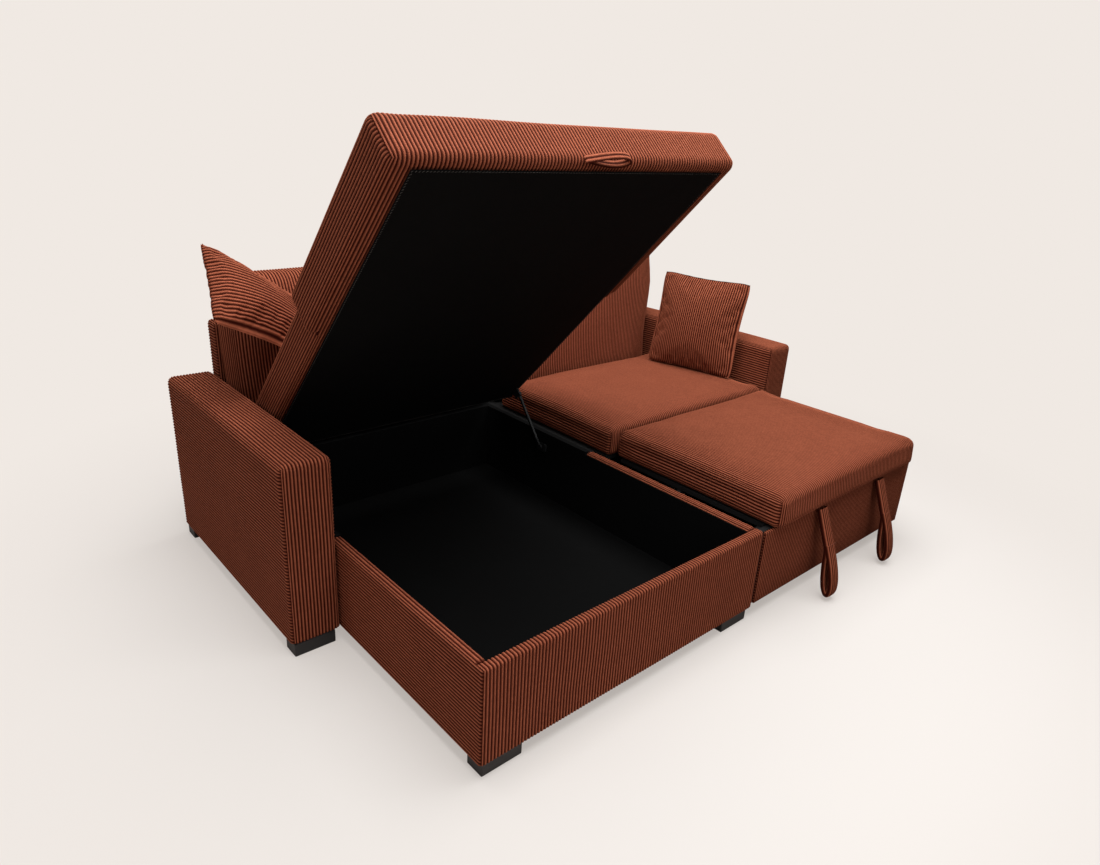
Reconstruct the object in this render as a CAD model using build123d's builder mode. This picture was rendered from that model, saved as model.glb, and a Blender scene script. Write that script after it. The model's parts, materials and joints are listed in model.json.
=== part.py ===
"""Corner sofa bed: storage chaise with a lifting lid on the left, pull-out bed on the right."""
import math
import os

from build123d import *

os.makedirs("parts", exist_ok=True)

# Overall sizes in millimetres. +X right, +Y to the back, +Z up, floor at Z = 0
WIDTH = 2380
DEPTH = 917
ARM_WIDTH = 151
ARM_HEIGHT = 600
BACK_HEIGHT = 778
BACK_THICKNESS = 80
FOOT_HEIGHT = 42
FOOT_LENGTH = 125
FOOT_WIDTH = 60
FOOT_INSET = 8
ARM_PADDING = 20
BACK_PADDING = 14
ARM_ROUNDING = 18
FIT = 0.3

# Storage chaise
CHAISE_REACH = 683
CHAISE_WIDTH = 1083
RAIL_HEIGHT = 324
COVER = 12
WALL = 22
FLOOR_BOARD = 12
COVER_RETURN = 85
BATTEN_LENGTH = 700
BATTEN_HEIGHT = 80
LEDGE_DEPTH = 147

# Lid of the chaise, drawn open
LID_ANGLE = 46.2
LID_LENGTH = 1365
LID_OVERHANG = 24
LID_SIDE_OVERHANG = 30
LID_SIDE_GAP = 5
LID_WIDE_LENGTH = 645
LID_BOARD = 15
LID_PAD = 97
LID_CROWN = 8
LID_BOARD_INSET = 14
LID_ROUNDING = 28
LID_SHIFT = 99
LID_LIFT = 64
LINING = 3
LINING_GAP = 4

# Swinging stays that carry the lid
STAY_SET_BACK = 100
STAY_DROP = 24
STAY_BASE_REACH = 216
STAY_ROD = 8
STAY_EYE = 22
STAY_THICKNESS = 8
PIN = 8
PIN_PLAY = 0.05
BRACKET = 34
BRACKET_THICKNESS = 8

# Seat and back
SEAT_HEIGHT = 428
SEAT_BOARD = 16
SEAT_BASE = 300
SEAT_START = 20
SEAT_DEPTH = 636
SEAT_LEFT_GAP = 16
SEAT_RIGHT_GAP = 6
SEAT_CROWN = 6
ANGLE_LEG = 25
ANGLE_STEEL = 4
CUSHION_TOP = 948
SEAT_BACK_GAP = 16
CUSHION_CROWN = 12
CUSHION_PINCH = 8
CUSHION_ROUNDING = 34
CUSHION_END_GAP = 10
CUSHION_LEAN = 6
CUSHION_LAP = 16
CUSHION_SINK = 1.1

# Pull-out bed, drawn pulled out with its mattress up
BED_LEFT_GAP = 10
BED_RIGHT_GAP = 5
BED_PANEL = 20
BED_PANEL_BOTTOM = 50
BED_PANEL_TOP = 313
BED_SIDE = 18
BED_SIDE_INSET = 6
BED_SIDE_TOP = 290
BED_SIDE_BOTTOM = 70
BED_TAIL = 150
BED_FLOOR = 12
BED_RAIL_HEIGHT = 200
GUIDE_BASE = 180
GUIDE_HEIGHT = 20
GUIDE_LENGTH = 70
LEDGE = 25
LEDGE_HEIGHT = 30
MATTRESS_LENGTH = 700
MATTRESS_BACK_GAP = 7
MATTRESS_OVERHANG = 24
MATTRESS_SIDE_GAP = 9
MATTRESS_CROWN = 5
MATTRESS_ROUNDING = 30
PLATFORM = 15
PLATFORM_INSET = 5
TILT_SET_BACK = 300
TILT_DROP = 10
TILT_PIN = 12
TILT_PLATE = 5
TILT_PLATE_WIDTH = 60
TILT_PLATE_HEIGHT = 90
TILT_BLOCK = 20
WHEEL = 50
WHEEL_WIDTH = 22
WHEEL_INSET = 90
WHEEL_SET_BACK = 70
AXLE = 8
FORK = 4
FORK_GAP = 1
FORK_WIDTH = 28

# Pull straps and throw pillows
STRAP_WIDTH = 50
STRAP = 3
STRAP_DROP = 118
STRAP_LEAN = 52
STRAP_LOOP = 186
STRAP_LOOP_LEAN = 26
STRAP_BOW = 44
STRAP_STAND_OFF = 9.2
STRAP_PLACES = (309, 705)
LID_STRAP_SPAN = 150
LID_STRAP_SHIFT = 27
LID_STRAP_DROP = 54
LID_STRAP_BAND = 22
PILLOW = 440
PILLOW_HALF = 62
PILLOW_PINCH = 16
PILLOW_FROM_ARM = 78
PILLOW_FROM_FRONT = 363
PILLOW_SINK = 6.5
LONG_PILLOW = 440
LONG_PILLOW_SHORT = 260
LONG_PILLOW_HALF = 55
LONG_PILLOW_PLACE = 64
LONG_PILLOW_FORWARD = 110.9
LONG_PILLOW_RISE = 281

# Places worked out from the sizes. The origin is at the middle of the footprint, on the floor
STRAP_REACH = STRAP_STAND_OFF + STRAP_LEAN + STRAP_BOW - MATTRESS_OVERHANG
FRONT_REACH = MATTRESS_BACK_GAP + MATTRESS_LENGTH + STRAP_REACH
LEFT = -WIDTH / 2
RIGHT = WIDTH / 2
ARM_FRONT = (FRONT_REACH - DEPTH) / 2
BACK = ARM_FRONT + DEPTH
BACK_FACE = BACK - BACK_THICKNESS
CHAISE_FRONT = ARM_FRONT - CHAISE_REACH
CHAISE_LEFT = LEFT + ARM_WIDTH
CHAISE_RIGHT = CHAISE_LEFT + CHAISE_WIDTH
SEAT_RIGHT = RIGHT - ARM_WIDTH
BOX_LEFT = CHAISE_LEFT + COVER + WALL
BOX_RIGHT = CHAISE_RIGHT - COVER - WALL
BOX_FRONT = CHAISE_FRONT + COVER + WALL
BOX_BACK = BACK_FACE - LEDGE_DEPTH


def save(part, name):
    """Label a finished piece and write its file."""
    part.label = name
    export_step(part, f"parts/{name}.step")


def middle(limits):
    return (limits[0] + limits[1]) / 2


def span(limits):
    return limits[1] - limits[0]


def block(name, x, y, z):
    """A plain board or block between two limits on each axis."""
    with BuildPart() as piece:
        with Locations((middle(x), middle(y), middle(z))):
            Box(span(x), span(y), span(z))
    save(piece.part, name)


def feet(name, places):
    """Equal block feet, each standing on the floor at its own left front corner."""
    with BuildPart() as group:
        with Locations(*[(x, y, 0) for x, y in places]):
            Box(FOOT_LENGTH, FOOT_WIDTH, FOOT_HEIGHT, align=Align.MIN)
    save(group.part, name)


def padded_frame(name, x, y, z, padding, rounding):
    """A timber core and the upholstery that wraps it, open underneath."""
    core_x = (x[0] + padding, x[1] - padding)
    core_y = (y[0] + padding, y[1] - padding)
    core_z = (z[0], z[1] - padding)
    with BuildPart() as cover:
        with Locations((middle(x), middle(y), middle(z))):
            Box(span(x), span(y), span(z))
        fillet(cover.faces().sort_by(Axis.Z)[-1].edges(), rounding)
        with Locations((middle(core_x), middle(core_y), middle(core_z))):
            Box(span(core_x), span(core_y), span(core_z), mode=Mode.SUBTRACT)
    save(cover.part, f"{name}_cover")
    block(f"{name}_frame", core_x, core_y, core_z)


def soft_form(name, plane, width, length, levels, pinch):
    """A cushion with drawn-in sides and a crown, lofted through (height, inset) outlines."""
    with BuildPart() as form:
        for height, inset in levels:
            u = width / 2 - inset
            v = length / 2 - inset
            with BuildSketch(plane.offset(height)):
                with BuildLine():
                    ThreePointArc((-u, -v), (0, -v + pinch), (u, -v))
                    ThreePointArc((u, -v), (u - pinch, 0), (u, v))
                    ThreePointArc((u, v), (0, v - pinch), (-u, v))
                    ThreePointArc((-u, v), (-u + pinch, 0), (-u, -v))
                make_face()
        loft(ruled=True)
    save(form.part, name)


def cushion_levels(thickness, rounding, crown):
    """Outlines of a box cushion: eased lower edge, rounded upper edge, low crown."""
    flat = thickness - crown
    return (
        (0, rounding * 0.35),
        (rounding * 0.3, 0),
        (flat - rounding, 0),
        (flat - rounding * 0.45, rounding * 0.17),
        (flat - rounding * 0.1, rounding * 0.6),
        (flat, rounding),
        (flat + crown * 0.7, rounding * 3),
        (thickness, rounding * 5.5),
    )


def pillow_levels(half, short_side):
    """Outlines from the lower crown, out to the seam and in to the upper crown."""
    steps = ((1.0, 0.34), (0.86, 0.21), (0.62, 0.1), (0.34, 0.035), (0.05, 0.0))
    lower = [(-half * rise, short_side * inset) for rise, inset in steps]
    upper = [(half * rise, short_side * inset) for rise, inset in reversed(steps)]
    return lower + upper


# Arms and back
for side, x in (("left", (LEFT, CHAISE_LEFT)), ("right", (SEAT_RIGHT, RIGHT))):
    padded_frame(
        f"{side}_arm", x, (ARM_FRONT, BACK), (FOOT_HEIGHT, ARM_HEIGHT), ARM_PADDING, ARM_ROUNDING
    )
padded_frame(
    "back",
    (CHAISE_LEFT, SEAT_RIGHT),
    (BACK_FACE, BACK),
    (FOOT_HEIGHT, BACK_HEIGHT),
    BACK_PADDING,
    BACK_PADDING,
)
arm_foot_y = (ARM_FRONT + FOOT_INSET, BACK - FOOT_INSET - FOOT_WIDTH)
arm_foot_x = (LEFT + FOOT_INSET, RIGHT - FOOT_INSET - FOOT_LENGTH)
feet("arm_feet", [(x, y) for x in arm_foot_x for y in arm_foot_y])

# Chaise box with its upholstered outside
wall_z = (FOOT_HEIGHT, RAIL_HEIGHT)
block(
    "chaise_left_wall",
    (CHAISE_LEFT + COVER, BOX_LEFT),
    (CHAISE_FRONT + COVER, BACK_FACE),
    wall_z,
)
block(
    "chaise_right_wall",
    (BOX_RIGHT, CHAISE_RIGHT - COVER),
    (CHAISE_FRONT + COVER, BACK_FACE),
    wall_z,
)
block("chaise_front_wall", (BOX_LEFT, BOX_RIGHT), (CHAISE_FRONT + COVER, BOX_FRONT), wall_z)
block("chaise_rear_wall", (BOX_LEFT, BOX_RIGHT), (BOX_BACK, BOX_BACK + WALL), wall_z)
block(
    "storage_floor",
    (BOX_LEFT, BOX_RIGHT),
    (BOX_FRONT, BOX_BACK),
    (FOOT_HEIGHT, FOOT_HEIGHT + FLOOR_BOARD),
)
block("chaise_front_cover", (CHAISE_LEFT, CHAISE_RIGHT), (CHAISE_FRONT, CHAISE_FRONT + COVER), wall_z)
block(
    "chaise_left_cover",
    (CHAISE_LEFT, CHAISE_LEFT + COVER),
    (CHAISE_FRONT + COVER, ARM_FRONT),
    wall_z,
)
block(
    "chaise_right_cover",
    (CHAISE_RIGHT - COVER, CHAISE_RIGHT),
    (CHAISE_FRONT + COVER, ARM_FRONT + COVER_RETURN),
    wall_z,
)
block(
    "arm_batten",
    (CHAISE_LEFT, CHAISE_LEFT + COVER),
    (ARM_FRONT + FOOT_WIDTH, ARM_FRONT + FOOT_WIDTH + BATTEN_LENGTH),
    (FOOT_HEIGHT, FOOT_HEIGHT + BATTEN_HEIGHT),
)
block(
    "back_ledge",
    (BOX_LEFT, BOX_RIGHT),
    (BOX_BACK + WALL, BACK_FACE),
    (RAIL_HEIGHT - SEAT_BOARD, RAIL_HEIGHT),
)
chaise_foot_x = (BOX_LEFT - WALL, BOX_RIGHT + WALL - FOOT_LENGTH)
chaise_foot_y = (CHAISE_FRONT + COVER, BOX_BACK + WALL - FOOT_WIDTH)
feet("chaise_feet", [(x, y) for x in chaise_foot_x for y in chaise_foot_y])

# Fixed seat: steel angles on the chaise wall and the arm carry the board and its cushion
seat_y = (ARM_FRONT + SEAT_START, BACK_FACE)
wall_face = CHAISE_RIGHT - COVER
angle_y = (ARM_FRONT + COVER_RETURN, BACK_FACE)
for side, face, inward in (("left", wall_face, 1), ("right", SEAT_RIGHT, -1)):
    with BuildPart() as seat_angle:
        with BuildSketch(Plane.XZ.offset(-angle_y[1])):
            with Locations((face, SEAT_BASE - ANGLE_STEEL)):
                corner = (Align.MIN if inward > 0 else Align.MAX, Align.MIN)
                Rectangle(ANGLE_LEG, ANGLE_STEEL, align=corner)
                Rectangle(ANGLE_STEEL, ANGLE_LEG, align=corner)
        extrude(amount=span(angle_y))
    save(seat_angle.part, f"seat_angle_{side}")
block(
    "seat_board",
    (wall_face + ANGLE_STEEL, SEAT_RIGHT - ANGLE_STEEL),
    (ARM_FRONT + COVER_RETURN, BACK_FACE),
    (SEAT_BASE, SEAT_BASE + SEAT_BOARD),
)
block(
    "seat_nosing",
    (CHAISE_RIGHT + SEAT_LEFT_GAP, SEAT_RIGHT - SEAT_RIGHT_GAP),
    (seat_y[0] + SEAT_RIGHT_GAP, ARM_FRONT + COVER_RETURN),
    (SEAT_BASE, SEAT_BASE + SEAT_BOARD),
)
seat_left = CHAISE_RIGHT + SEAT_LEFT_GAP
seat_width = SEAT_RIGHT - SEAT_RIGHT_GAP - seat_left
soft_base = SEAT_BASE + SEAT_BOARD + FIT
seat_middle = (seat_left + seat_width / 2, seat_y[0] + SEAT_DEPTH / 2, soft_base)
soft_form(
    "seat_cushion",
    Plane(origin=seat_middle),
    seat_width,
    SEAT_DEPTH,
    cushion_levels(SEAT_HEIGHT - soft_base, MATTRESS_ROUNDING, SEAT_CROWN),
    CUSHION_PINCH,
)

# Back cushions lean on the top edge of the back, crown to the front
tilt = math.radians(CUSHION_LEAN)
for side, ends, foot, front in (
    ("left", (CHAISE_LEFT, CHAISE_RIGHT), RAIL_HEIGHT, BOX_BACK - CUSHION_LAP),
    ("right", (CHAISE_RIGHT, SEAT_RIGHT), SEAT_BASE + SEAT_BOARD, seat_y[0] + SEAT_DEPTH + SEAT_BACK_GAP),
):
    heel = BACK_FACE - FIT - (BACK_HEIGHT - foot) * math.tan(tilt)
    height = (CUSHION_TOP - foot - FIT) / math.cos(tilt)
    rise = (height / 2 * math.sin(tilt), height / 2 * math.cos(tilt))
    soft_form(
        f"back_cushion_{side}",
        Plane(
            origin=(middle(ends), heel + rise[0], foot + FIT + rise[1] - CUSHION_SINK),
            x_dir=(1, 0, 0),
            z_dir=(0, -math.cos(tilt), math.sin(tilt)),
        ),
        span(ends) - 2 * CUSHION_END_GAP,
        height,
        cushion_levels((heel - front) / math.cos(tilt), CUSHION_ROUNDING, CUSHION_CROWN),
        CUSHION_PINCH,
    )

# Lid, drawn on a plane that leans back with it: local X right, local Y to its rear edge
lean = math.radians(LID_ANGLE)
lid_rear = CHAISE_FRONT - LID_OVERHANG + LID_LENGTH
lid_plane = Plane(
    origin=(0, lid_rear - LID_SHIFT, RAIL_HEIGHT + FIT + LID_LIFT),
    x_dir=(1, 0, 0),
    z_dir=(0, math.sin(lean), math.cos(lean)),
)


def lid_outline(inset):
    """The T shape of the lid: wide in front of the arm, narrower beside it."""
    wide = (CHAISE_LEFT - LID_SIDE_OVERHANG + inset, CHAISE_RIGHT + LID_SIDE_OVERHANG - inset)
    narrow = (CHAISE_LEFT + LID_SIDE_GAP + inset, CHAISE_RIGHT - LID_SIDE_GAP - inset)
    front = -LID_LENGTH + inset
    step = -LID_LENGTH + LID_WIDE_LENGTH - inset
    rear = -inset
    return (
        (wide[0], front),
        (wide[1], front),
        (wide[1], step),
        (narrow[1], step),
        (narrow[1], rear),
        (narrow[0], rear),
        (narrow[0], step),
        (wide[0], step),
    )


with BuildPart() as lid_board:
    with BuildSketch(lid_plane):
        with BuildLine():
            Polyline(*lid_outline(LID_BOARD_INSET), close=True)
        make_face()
    extrude(amount=LID_BOARD)
save(lid_board.part, "lid_board")

with BuildPart() as lid_pad:
    for height, inset in cushion_levels(LID_PAD + LID_CROWN, LID_ROUNDING, LID_CROWN):
        with BuildSketch(lid_plane.offset(LID_BOARD + height)):
            with BuildLine():
                Polyline(*lid_outline(inset), close=True)
            make_face()
    loft(ruled=True)
save(lid_pad.part, "lid_pad")

lining_x = (BOX_LEFT + LINING_GAP, BOX_RIGHT - LINING_GAP)
lining_y = (BOX_FRONT + LINING_GAP - lid_rear, -LID_BOARD_INSET)
with BuildPart() as lid_lining:
    with BuildSketch(lid_plane):
        with Locations((middle(lining_x), middle(lining_y))):
            Rectangle(span(lining_x), span(lining_y))
    extrude(amount=-LINING)
save(lid_lining.part, "lid_lining")

with BuildPart() as lid_strap:
    strap_plane = Plane(
        origin=lid_plane.from_local_coords(
            (middle(lining_x) + LID_STRAP_SHIFT, -LID_LENGTH + LID_BOARD_INSET, 0)
        ),
        x_dir=(1, 0, 0),
        z_dir=lid_plane.z_dir,
    )
    with BuildSketch(strap_plane):
        Ellipse(LID_STRAP_SPAN / 2, LID_STRAP_DROP)
        Ellipse(
            LID_STRAP_SPAN / 2 - LID_STRAP_BAND,
            LID_STRAP_DROP - LID_STRAP_BAND,
            mode=Mode.SUBTRACT,
        )
        split(bisect_by=Plane.XZ, keep=Keep.TOP)
    extrude(amount=STRAP)
save(lid_strap.part, "lid_strap")

# Stays: each swings on a pin in the box wall and carries a pin of the lid
turn = Vector(0, lid_rear - STAY_SET_BACK, RAIL_HEIGHT + FIT - STAY_DROP)
lid_pin = Vector(*lid_plane.from_local_coords((0, -STAY_SET_BACK, -STAY_DROP)))
chord = lid_pin - turn
base_pin = (turn + lid_pin) * 0.5 + Vector(0, -chord.Z, chord.Y).normalized() * STAY_BASE_REACH
stay_line = lid_pin - base_pin
stay_angle = math.degrees(math.atan2(stay_line.Z, stay_line.Y))
for side, wall, inward in (("left", BOX_LEFT, 1), ("right", BOX_RIGHT, -1)):
    plate = wall + inward * BRACKET_THICKNESS
    near = plate + inward * FIT
    far = near + inward * STAY_THICKNESS
    stay_plane = Plane(
        origin=(near, base_pin.Y, base_pin.Z), x_dir=stay_line, z_dir=(inward, 0, 0)
    )
    with BuildPart() as stay:
        with BuildSketch(stay_plane):
            with Locations((0, 0), (stay_line.length, 0)):
                Circle(STAY_EYE / 2)
        extrude(amount=STAY_THICKNESS)
        with BuildSketch(stay_plane):
            with Locations((stay_line.length / 2, 0)):
                Rectangle(stay_line.length - STAY_EYE / 2, STAY_ROD)
        extrude(amount=STAY_THICKNESS)
        with BuildSketch(stay_plane):
            with Locations((0, 0), (stay_line.length, 0)):
                Circle(PIN / 2 + PIN_PLAY)
        extrude(amount=STAY_THICKNESS, mode=Mode.SUBTRACT)
    save(stay.part, f"lid_stay_{side}")
    with BuildPart() as wall_bracket:
        with BuildSketch(Plane(origin=(wall, base_pin.Y, base_pin.Z), x_dir=(0, 1, 0), z_dir=(inward, 0, 0))):
            RectangleRounded(BRACKET * 1.6, BRACKET, BRACKET / 4)
        extrude(amount=BRACKET_THICKNESS)
        with BuildSketch(Plane(origin=(plate, base_pin.Y, base_pin.Z), z_dir=(inward, 0, 0))):
            Circle(PIN / 2)
        extrude(amount=FIT + STAY_THICKNESS)
    save(wall_bracket.part, f"stay_wall_bracket_{side}")
    arm_x = far + inward * FIT
    with BuildPart() as lid_bracket:
        with BuildSketch(
            Plane(
                origin=lid_plane.from_local_coords((arm_x, -STAY_SET_BACK, -LINING)),
                x_dir=lid_plane.y_dir,
                z_dir=(inward, 0, 0),
            )
        ):
            height = STAY_DROP + STAY_EYE / 2 - LINING
            away = Align.MIN if inward < 0 else Align.MAX
            Rectangle(BRACKET, height, align=(Align.CENTER, away))
        extrude(amount=BRACKET_THICKNESS)
        with BuildSketch(Plane(origin=(arm_x, lid_pin.Y, lid_pin.Z), z_dir=(-inward, 0, 0))):
            Circle(PIN / 2)
        extrude(amount=FIT + STAY_THICKNESS)
    save(lid_bracket.part, f"lid_bracket_{side}")

# Pull-out bed drawer, out as far as the mattress in front of the seat needs
mattress_back = ARM_FRONT - MATTRESS_BACK_GAP
mattress_front = mattress_back - MATTRESS_LENGTH
bed_front = mattress_front + MATTRESS_OVERHANG
bed_left = CHAISE_RIGHT + BED_LEFT_GAP
bed_right = SEAT_RIGHT - BED_RIGHT_GAP
panel_back = bed_front + COVER + BED_PANEL
bed_back = ARM_FRONT + BED_TAIL
panel_z = (BED_PANEL_BOTTOM, BED_PANEL_TOP)
side_left = (bed_left + BED_SIDE_INSET, bed_left + BED_SIDE_INSET + BED_SIDE)
side_right = (bed_right - BED_SIDE_INSET - BED_SIDE, bed_right - BED_SIDE_INSET)
inside = (side_left[1], side_right[0])
block("bed_front_cover", (bed_left, bed_right), (bed_front, bed_front + COVER), panel_z)
block("bed_front_panel", (bed_left, bed_right), (bed_front + COVER, panel_back), panel_z)
for name, x in (("bed_side_left", side_left), ("bed_side_right", side_right)):
    block(name, x, (panel_back, bed_back), (BED_SIDE_BOTTOM, BED_SIDE_TOP))
block(
    "bed_floor",
    inside,
    (panel_back, bed_back),
    (BED_SIDE_BOTTOM, BED_SIDE_BOTTOM + BED_FLOOR),
)
block(
    "bed_rear_rail",
    inside,
    (bed_back - BED_SIDE, bed_back),
    (BED_SIDE_BOTTOM + BED_FLOOR, BED_SIDE_BOTTOM + BED_FLOOR + BED_RAIL_HEIGHT),
)

# Guide strips on the chaise and on the arm keep the drawer straight as it rolls
guide_y = (ARM_FRONT + FOOT_INSET, ARM_FRONT + FOOT_INSET + GUIDE_LENGTH)
guide_z = (GUIDE_BASE, GUIDE_BASE + GUIDE_HEIGHT)
block("bed_guide_left", (CHAISE_RIGHT, side_left[0] - FIT), guide_y, guide_z)
block("bed_guide_right", (side_right[1] + FIT, SEAT_RIGHT), guide_y, guide_z)

# Mattress on a platform that tilts about pins in two plates on the drawer's sides
mattress_x = (inside[0] + MATTRESS_SIDE_GAP, inside[1] - MATTRESS_SIDE_GAP)
platform_top = soft_base - FIT
platform_base = platform_top - PLATFORM
platform_x = (mattress_x[0] + PLATFORM_INSET, mattress_x[1] - PLATFORM_INSET)
tilt_y = mattress_back - TILT_SET_BACK
tilt_z = platform_base - TILT_DROP
soft_form(
    "bed_mattress",
    Plane(origin=(middle(mattress_x), mattress_front + MATTRESS_LENGTH / 2, platform_top)),
    span(mattress_x),
    MATTRESS_LENGTH,
    cushion_levels(SEAT_HEIGHT - platform_top, MATTRESS_ROUNDING, MATTRESS_CROWN),
    CUSHION_PINCH,
)
block(
    "bed_platform",
    platform_x,
    (panel_back + PLATFORM_INSET, mattress_back - PLATFORM_INSET * 3),
    (platform_base, platform_top),
)
block(
    "bed_front_ledge",
    inside,
    (panel_back, panel_back + LEDGE),
    (platform_base - FIT - LEDGE_HEIGHT, platform_base - FIT),
)
with BuildPart() as tilt_plates:
    for face, inward in ((inside[0], 1), (inside[1], -1)):
        with BuildSketch(Plane(origin=(face, tilt_y, tilt_z), x_dir=(0, 1, 0), z_dir=(inward, 0, 0))):
            down = Align.MAX if inward > 0 else Align.MIN
            Rectangle(TILT_PLATE_WIDTH, TILT_PLATE_HEIGHT, align=(Align.CENTER, down))
            Circle(TILT_PLATE_WIDTH / 2 - BED_SIDE)
            Circle(TILT_PIN / 2 + PIN_PLAY, mode=Mode.SUBTRACT)
        extrude(amount=TILT_PLATE)
save(tilt_plates.part, "bed_tilt_plates")
with BuildPart() as tilt_blocks:
    for edge, face, inward in ((platform_x[0], inside[0], 1), (platform_x[1], inside[1], -1)):
        with Locations((edge + inward * TILT_BLOCK / 2, tilt_y, platform_base)):
            Box(
                TILT_BLOCK,
                TILT_PIN * 2,
                TILT_DROP + TILT_PIN,
                align=(Align.CENTER, Align.CENTER, Align.MAX),
            )
        with BuildSketch(Plane(origin=(edge, tilt_y, tilt_z), z_dir=(-inward, 0, 0))):
            Circle(TILT_PIN / 2)
        extrude(amount=abs(edge - face))
save(tilt_blocks.part, "bed_tilt_blocks")

for number, place in enumerate(STRAP_PLACES):
    strap_x = bed_left + place
    strap_y = bed_front - STRAP_STAND_OFF
    tip_y = strap_y - STRAP_LEAN
    stitch = platform_top - STRAP_DROP
    with BuildPart() as strap:
        with BuildSketch(Plane.YZ.offset(strap_x - STRAP_WIDTH / 2)):
            with BuildLine():
                low = (tip_y - STRAP_LOOP_LEAN, stitch - STRAP_LOOP)
                bow = (tip_y - STRAP_BOW, stitch - STRAP_LOOP * 0.55)
                ThreePointArc((tip_y, stitch), bow, low)
                ThreePointArc(low, (tip_y - STRAP / 2, stitch - STRAP_LOOP * 0.6), (tip_y, stitch))
            make_face()
            offset(amount=-STRAP, mode=Mode.SUBTRACT)
            with BuildLine():
                Polyline(
                    (strap_y - STRAP / 2, platform_top),
                    (strap_y + STRAP / 2, platform_top),
                    (tip_y + STRAP / 2, stitch - STRAP * 3),
                    (tip_y - STRAP / 2, stitch - STRAP * 3),
                    close=True,
                )
            make_face()
        extrude(amount=STRAP_WIDTH)
    save(strap.part, f"bed_strap_{('left', 'right')[number]}")

# Rollers under the drawer
roller_x = (bed_left + WHEEL_INSET, bed_right - WHEEL_INSET)
roller_y = (panel_back + WHEEL_SET_BACK, bed_back - WHEEL_SET_BACK)
axle_z = WHEEL / 2
corners = {"front_left": (0, 0), "front_right": (1, 0), "rear_left": (0, 1), "rear_right": (1, 1)}
for corner_name, (across, along) in corners.items():
    place = (roller_x[across], roller_y[along], axle_z)
    with BuildPart() as wheel:
        with BuildSketch(Plane(origin=place, z_dir=(1, 0, 0))):
            Circle(WHEEL / 2)
            Circle(AXLE / 2 + PIN_PLAY, mode=Mode.SUBTRACT)
        extrude(amount=WHEEL_WIDTH / 2, both=True)
    save(wheel.part, f"wheel_{corner_name}")
with BuildPart() as forks:
    arm_reach = WHEEL_WIDTH / 2 + FORK_GAP
    for x in roller_x:
        for y in roller_y:
            for outward in (-1, 1):
                with Locations((x + outward * (arm_reach + FORK / 2), y, BED_SIDE_BOTTOM)):
                    fork_height = BED_SIDE_BOTTOM - axle_z + AXLE
                    Box(FORK, FORK_WIDTH, fork_height, align=(Align.CENTER, Align.CENTER, Align.MAX))
            with Locations((x, y, BED_SIDE_BOTTOM)):
                top_width = 2 * (arm_reach + FORK)
                Box(top_width, FORK_WIDTH, FORK, align=(Align.CENTER, Align.CENTER, Align.MAX))
            with BuildSketch(Plane(origin=(x, y, axle_z), z_dir=(1, 0, 0))):
                Circle(AXLE / 2)
            extrude(amount=arm_reach, both=True)
save(forks.part, "wheel_forks")

# Throw pillows: a square one stands by the right arm, a long one leans on the left back cushion
right_pillow = Plane(
    origin=(
        SEAT_RIGHT - PILLOW_FROM_ARM,
        ARM_FRONT + PILLOW_FROM_FRONT,
        SEAT_HEIGHT + PILLOW / 2 - PILLOW_SINK,
    ),
    x_dir=(0.2, -0.98, 0),
    z_dir=(-0.956, -0.195, 0.215),
)
soft_form(
    "throw_pillow_right",
    right_pillow,
    PILLOW,
    PILLOW,
    pillow_levels(PILLOW_HALF, PILLOW),
    PILLOW_PINCH,
)
left_pillow = Plane(
    origin=(
        CHAISE_LEFT + LONG_PILLOW_PLACE,
        BOX_BACK - LONG_PILLOW_FORWARD,
        ARM_HEIGHT + LONG_PILLOW_RISE,
    ),
    x_dir=(0.8025, 0.2039, -0.5608),
    z_dir=(0.5553, -0.5989, 0.5769),
)
soft_form(
    "throw_pillow_left",
    left_pillow,
    LONG_PILLOW,
    LONG_PILLOW_SHORT,
    pillow_levels(LONG_PILLOW_HALF, LONG_PILLOW_SHORT),
    PILLOW_PINCH,
)

print("stay base pin", [round(v, 3) for v in base_pin], "stay length", round(stay_line.length, 3))
print("lid pin", [round(v, 3) for v in lid_pin], "stay angle", round(stay_angle, 4))
closed_line = turn - base_pin
print("stay closed angle", round(math.degrees(math.atan2(closed_line.Z, closed_line.Y)), 4))
print("tilt pin", round(tilt_y, 3), round(tilt_z, 3), "rollers", roller_x, roller_y)
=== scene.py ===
import json
import math

import bmesh
import bpy
import numpy as np
from mathutils import Matrix, Vector


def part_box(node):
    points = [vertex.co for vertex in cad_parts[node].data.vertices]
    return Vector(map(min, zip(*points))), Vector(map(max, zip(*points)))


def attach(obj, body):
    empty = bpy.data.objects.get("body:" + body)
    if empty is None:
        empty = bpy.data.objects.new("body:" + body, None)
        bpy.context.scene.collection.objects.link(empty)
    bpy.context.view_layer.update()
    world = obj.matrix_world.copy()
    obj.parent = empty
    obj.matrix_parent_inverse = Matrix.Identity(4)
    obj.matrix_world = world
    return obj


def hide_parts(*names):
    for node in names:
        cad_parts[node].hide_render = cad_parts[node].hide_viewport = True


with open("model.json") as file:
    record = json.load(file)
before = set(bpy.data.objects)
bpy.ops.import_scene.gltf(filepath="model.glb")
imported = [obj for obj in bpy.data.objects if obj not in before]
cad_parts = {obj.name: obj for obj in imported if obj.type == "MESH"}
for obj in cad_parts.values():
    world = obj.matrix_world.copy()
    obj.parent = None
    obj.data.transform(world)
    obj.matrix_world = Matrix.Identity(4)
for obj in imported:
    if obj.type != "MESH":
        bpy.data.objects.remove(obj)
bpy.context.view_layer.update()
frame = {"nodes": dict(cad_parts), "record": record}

# Corduroy, in metres
RIB_PITCH = 0.0104
RIB_HEIGHT = 0.0026
RIB_STOPS = (0.0, 0.13, 0.31, 0.5, 0.69, 0.87)
SEAM_DEPTH = 0.0025
SEAM_WIDTH = 0.005
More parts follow.
